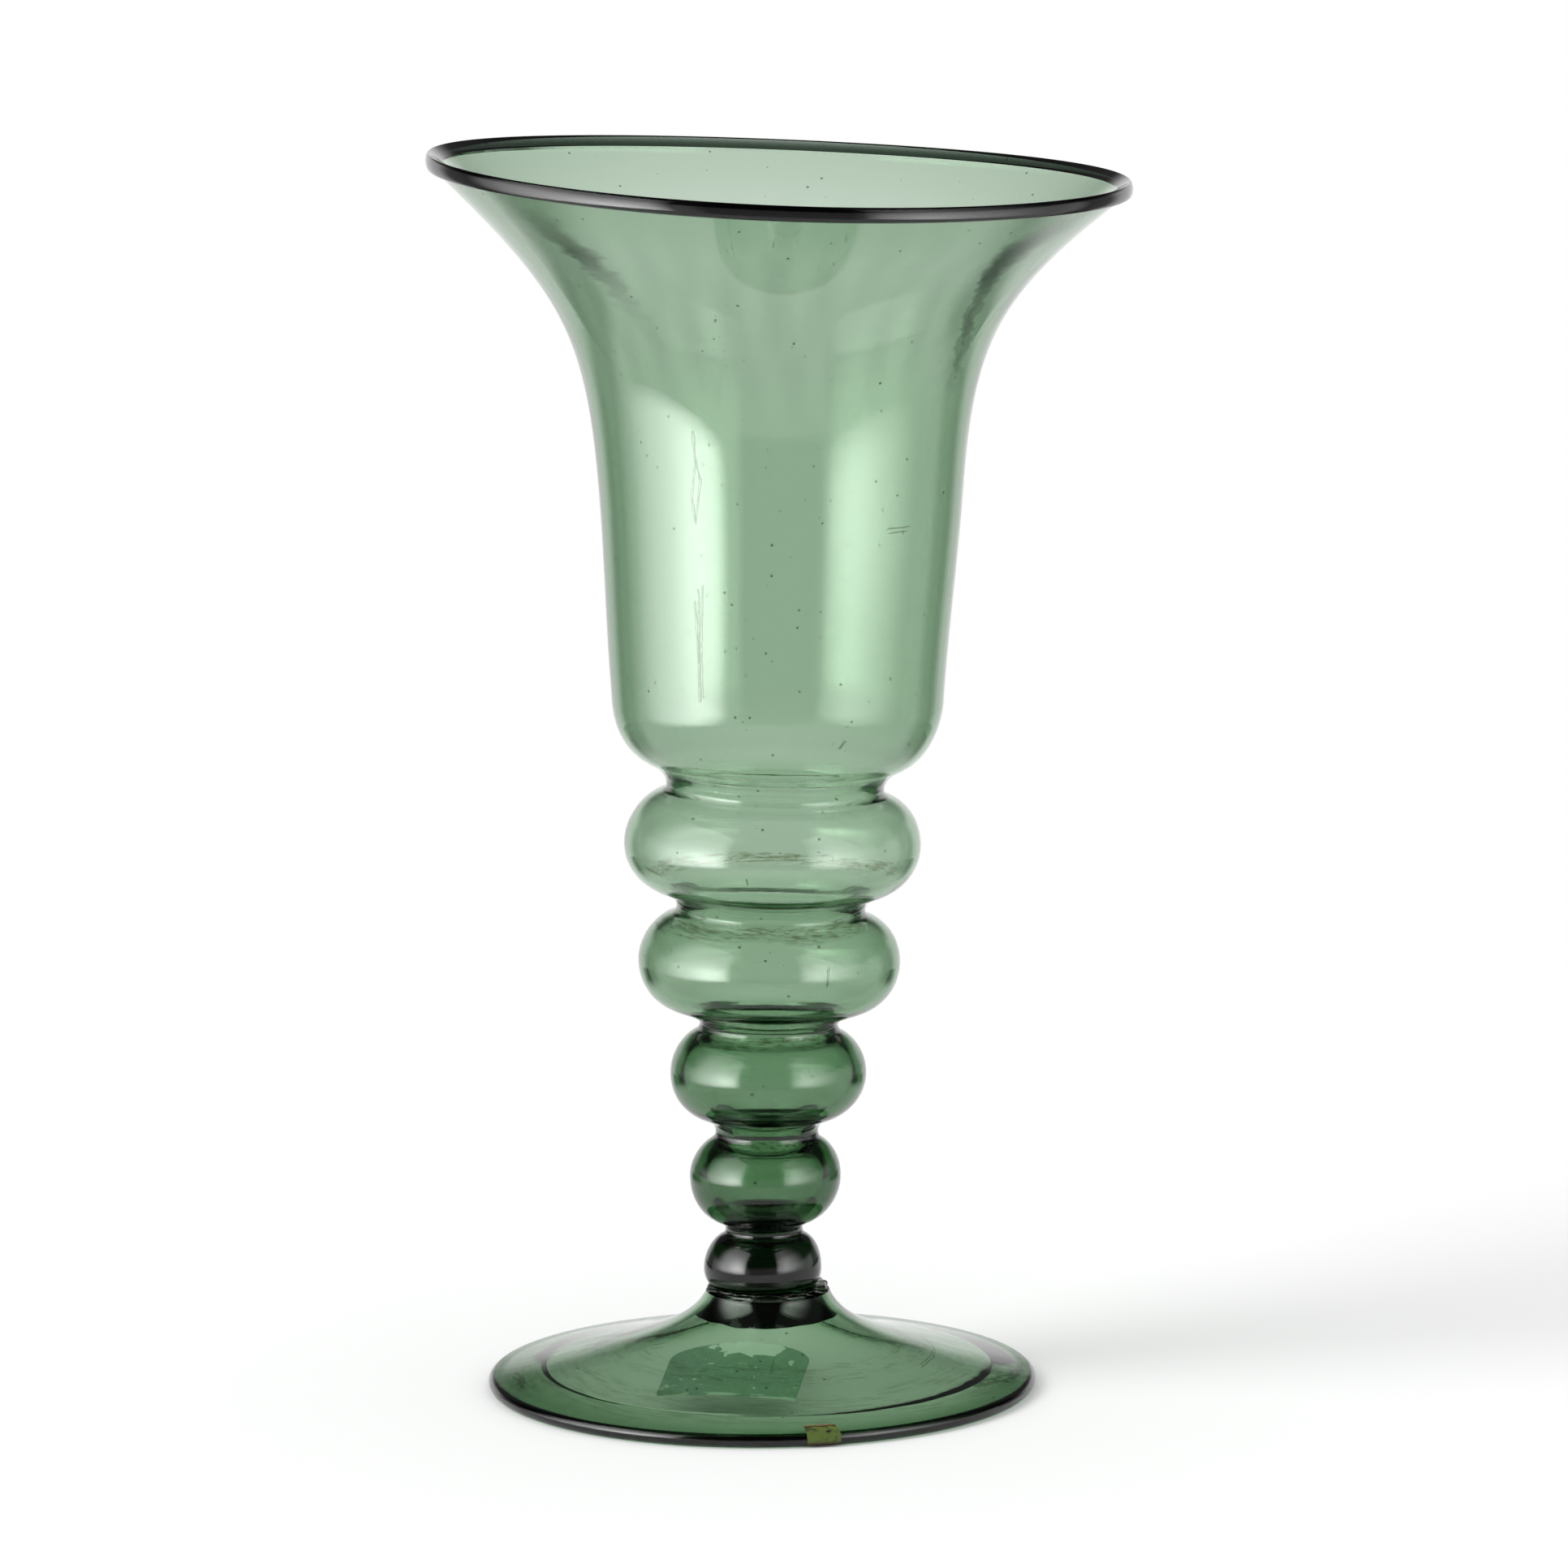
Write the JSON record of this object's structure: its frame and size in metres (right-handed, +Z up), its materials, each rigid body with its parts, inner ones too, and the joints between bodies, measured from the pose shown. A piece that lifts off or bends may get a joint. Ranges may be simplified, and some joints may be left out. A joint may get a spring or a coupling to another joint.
{
  "type": "blown glass vase",
  "caption": "Tall trumpet-shaped vase of thin pale green glass: a flared bowl over a stem of five knops, on a low domed foot with a folded edge.",
  "frame": {"origin": "on the table, under the middle of the lip (the foot's own middle stands 6.1 mm towards -X, because the vase leans)", "axes": "+Z up out of the vase's mouth, -Y towards the picture's camera, +X to the right in the picture"},
  "size_m": [0.1708, 0.1708, 0.3054],
  "materials": {
    "green_glass": "clear pale green, fire-polished",
    "thick_green_glass": "clear, dark green where thick",
    "label_paper": "matt, grey-green, bare",
    "sticker_paper": "matt, olive, bare"
  },
  "bodies": {
    "root": {"bowl_and_knops": "green_glass", "rolled_lip": "thick_green_glass", "joining_wad": "thick_green_glass", "domed_foot": "green_glass", "folded_foot_hem": "green_glass", "label_under_foot": "label_paper", "sticker_on_foot_edge": "sticker_paper"}
  },
  "joints": []
}
